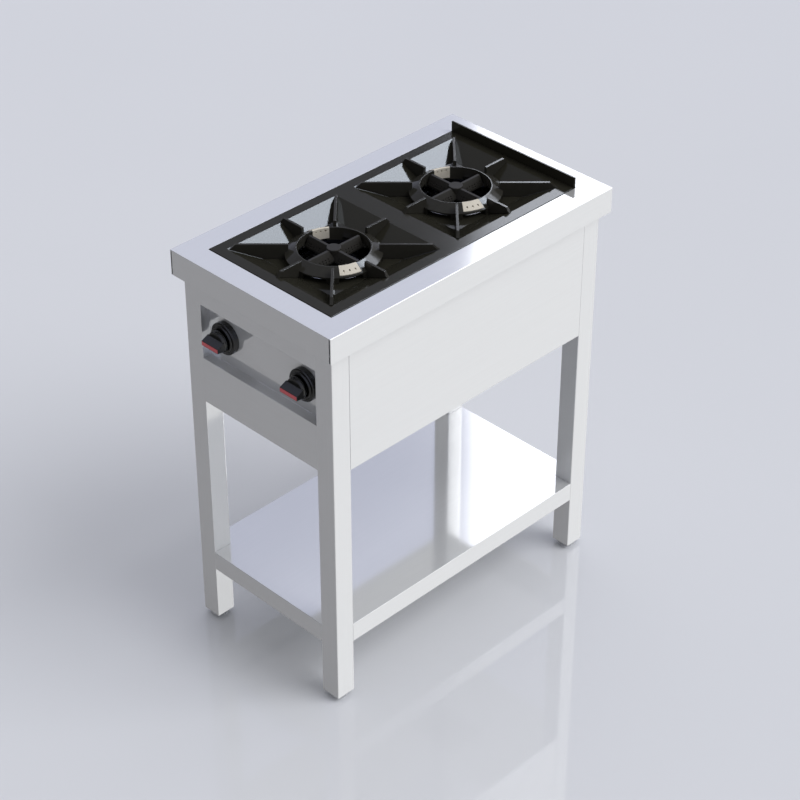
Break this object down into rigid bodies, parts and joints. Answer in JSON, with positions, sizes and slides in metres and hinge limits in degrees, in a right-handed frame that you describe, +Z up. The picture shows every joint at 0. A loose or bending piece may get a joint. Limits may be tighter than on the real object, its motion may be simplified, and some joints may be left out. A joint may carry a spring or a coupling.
{
  "type": "stock pot range",
  "caption": "Narrow floor-standing gas range in stainless steel: cast pan supports in line on a black hob plate, knobs in a front recess, open stand with a low shelf.",
  "frame": {"origin": "on the floor, under the middle of the worktop", "axes": "+X to the right of someone facing the knobs, +Y to the back, +Z up"},
  "size_m": [0.4, 0.7134, 0.831],
  "materials": {
    "stainless_steel": "satin",
    "bright_stainless": "bright",
    "black_enamel": "gloss",
    "enamelled_cast_iron": "gloss",
    "port_ceramic": "matte",
    "burner_cast_iron": "satin",
    "black_gloss_plastic": "gloss",
    "red_gloss_plastic": "gloss",
    "zinc_plated_steel": "satin",
    "brass": "satin",
    "aluminium_tube": "satin",
    "grey_nylon": "matte"
  },
  "bodies": {
    "stand": {"bottom_shelf": "stainless_steel", "burner_screws": "zinc_plated_steel", "casing_base": "stainless_steel", "foot_bushes": "grey_nylon", "front_burner_cross": "burner_cast_iron", "front_burner_rail": "zinc_plated_steel", "front_feed_tube": "aluminium_tube", "front_injector_holder": "brass", "front_left_leg": "stainless_steel", "front_mixing_tube": "burner_cast_iron", "front_panel": "stainless_steel", "front_right_leg": "stainless_steel", "front_spill_tray": "bright_stainless", "gas_manifold": "zinc_plated_steel", "hob_plate": "black_enamel", "injectors": "brass", "inlet_locknut": "zinc_plated_steel", "left_bezel": "black_gloss_plastic", "left_gas_valve": "brass", "left_side_panel": "stainless_steel", "manifold_brackets": "zinc_plated_steel", "rear_burner_cross": "burner_cast_iron", "rear_burner_rail": "zinc_plated_steel", "rear_feed_tube": "aluminium_tube", "rear_injector_holder": "brass", "rear_left_leg": "stainless_steel", "rear_mixing_tube": "burner_cast_iron", "rear_panel": "stainless_steel", "rear_right_leg": "stainless_steel", "rear_spill_tray": "bright_stainless", "rear_upstand": "black_enamel", "right_bezel": "black_gloss_plastic", "right_gas_valve": "brass", "right_side_panel": "stainless_steel", "shelf_stiffener": "stainless_steel", "valve_clamp_screws": "zinc_plated_steel", "valve_clamps": "zinc_plated_steel", "worktop": "stainless_steel"},
    "front_pan_support": {"front_pan_support": "enamelled_cast_iron", "front_port_inserts": "port_ceramic"},
    "front_air_shutter": {"front_air_shutter": "zinc_plated_steel"},
    "rear_pan_support": {"rear_pan_support": "enamelled_cast_iron", "rear_port_inserts": "port_ceramic"},
    "rear_air_shutter": {"rear_air_shutter": "zinc_plated_steel"},
    "left_push": {"left_push_pin": "brass"},
    "left_knob": {"left_knob": "black_gloss_plastic", "left_knob_pointer": "red_gloss_plastic", "left_valve_spindle": "brass"},
    "right_push": {"right_push_pin": "brass"},
    "right_knob": {"right_knob": "black_gloss_plastic", "right_knob_pointer": "red_gloss_plastic", "right_valve_spindle": "brass"},
    "front_left_foot": {"front_left_foot_pad": "grey_nylon"},
    "front_left_foot_screw": {"front_left_foot_screw": "zinc_plated_steel"},
    "rear_left_foot": {"rear_left_foot_pad": "grey_nylon"},
    "rear_left_foot_screw": {"rear_left_foot_screw": "zinc_plated_steel"},
    "front_right_foot": {"front_right_foot_pad": "grey_nylon"},
    "front_right_foot_screw": {"front_right_foot_screw": "zinc_plated_steel"},
    "rear_right_foot": {"rear_right_foot_pad": "grey_nylon"},
    "rear_right_foot_screw": {"rear_right_foot_screw": "zinc_plated_steel"}
  },
  "joints": [
    {"name": "front_pan_support_lift", "type": "slide", "parent": "stand", "child": "front_pan_support", "axis": [0, 0, 1], "range_m": [0, 0.06]},
    {"name": "front_air_shutter_turn", "type": "hinge", "parent": "stand", "child": "front_air_shutter", "pos_m": [0, -0.24725, 0.745], "axis": [0, 1, 0], "range_deg": [0, 45]},
    {"name": "rear_pan_support_lift", "type": "slide", "parent": "stand", "child": "rear_pan_support", "axis": [0, 0, 1], "range_m": [0, 0.06]},
    {"name": "rear_air_shutter_turn", "type": "hinge", "parent": "stand", "child": "rear_air_shutter", "pos_m": [0, 0.05525, 0.745], "axis": [0, 1, 0], "range_deg": [0, 45]},
    {"name": "left_knob_push", "type": "slide", "parent": "stand", "child": "left_push", "axis": [0, 1, 0], "range_m": [0, 0.003], "stiffness_N_per_m": 2000, "springref_m": -0.003},
    {"name": "left_knob_turn", "type": "hinge", "parent": "left_push", "child": "left_knob", "pos_m": [-0.1, -0.315, 0.66], "axis": [0, -1, 0], "range_deg": [0, 180]},
    {"name": "right_knob_push", "type": "slide", "parent": "stand", "child": "right_push", "axis": [0, 1, 0], "range_m": [0, 0.003], "stiffness_N_per_m": 2000, "springref_m": -0.003},
    {"name": "right_knob_turn", "type": "hinge", "parent": "right_push", "child": "right_knob", "pos_m": [0.1, -0.315, 0.66], "axis": [0, -1, 0], "range_deg": [0, 180]},
    {"name": "front_left_foot_height", "type": "slide", "parent": "stand", "child": "front_left_foot", "axis": [0, 0, -1], "range_m": [0, 0.015]},
    {"name": "front_left_foot_screw_turn", "type": "hinge", "parent": "front_left_foot", "child": "front_left_foot_screw", "pos_m": [-0.165, -0.315, 0.01], "axis": [0, 0, -1], "range_deg": [0, 3605]},
    {"name": "rear_left_foot_height", "type": "slide", "parent": "stand", "child": "rear_left_foot", "axis": [0, 0, -1], "range_m": [0, 0.015]},
    {"name": "rear_left_foot_screw_turn", "type": "hinge", "parent": "rear_left_foot", "child": "rear_left_foot_screw", "pos_m": [-0.165, 0.315, 0.01], "axis": [0, 0, -1], "range_deg": [0, 3605]},
    {"name": "front_right_foot_height", "type": "slide", "parent": "stand", "child": "front_right_foot", "axis": [0, 0, -1], "range_m": [0, 0.015]},
    {"name": "front_right_foot_screw_turn", "type": "hinge", "parent": "front_right_foot", "child": "front_right_foot_screw", "pos_m": [0.165, -0.315, 0.01], "axis": [0, 0, -1], "range_deg": [0, 3605]},
    {"name": "rear_right_foot_height", "type": "slide", "parent": "stand", "child": "rear_right_foot", "axis": [0, 0, -1], "range_m": [0, 0.015]},
    {"name": "rear_right_foot_screw_turn", "type": "hinge", "parent": "rear_right_foot", "child": "rear_right_foot_screw", "pos_m": [0.165, 0.315, 0.01], "axis": [0, 0, -1], "range_deg": [0, 3605]}
  ],
  "couplings": [
    {"joint": "front_left_foot_screw_turn", "follows": "front_left_foot_height", "rad_per_m": 4188.8},
    {"joint": "rear_left_foot_screw_turn", "follows": "rear_left_foot_height", "rad_per_m": 4188.8},
    {"joint": "front_right_foot_screw_turn", "follows": "front_right_foot_height", "rad_per_m": 4188.8},
    {"joint": "rear_right_foot_screw_turn", "follows": "rear_right_foot_height", "rad_per_m": 4188.8}
  ]
}
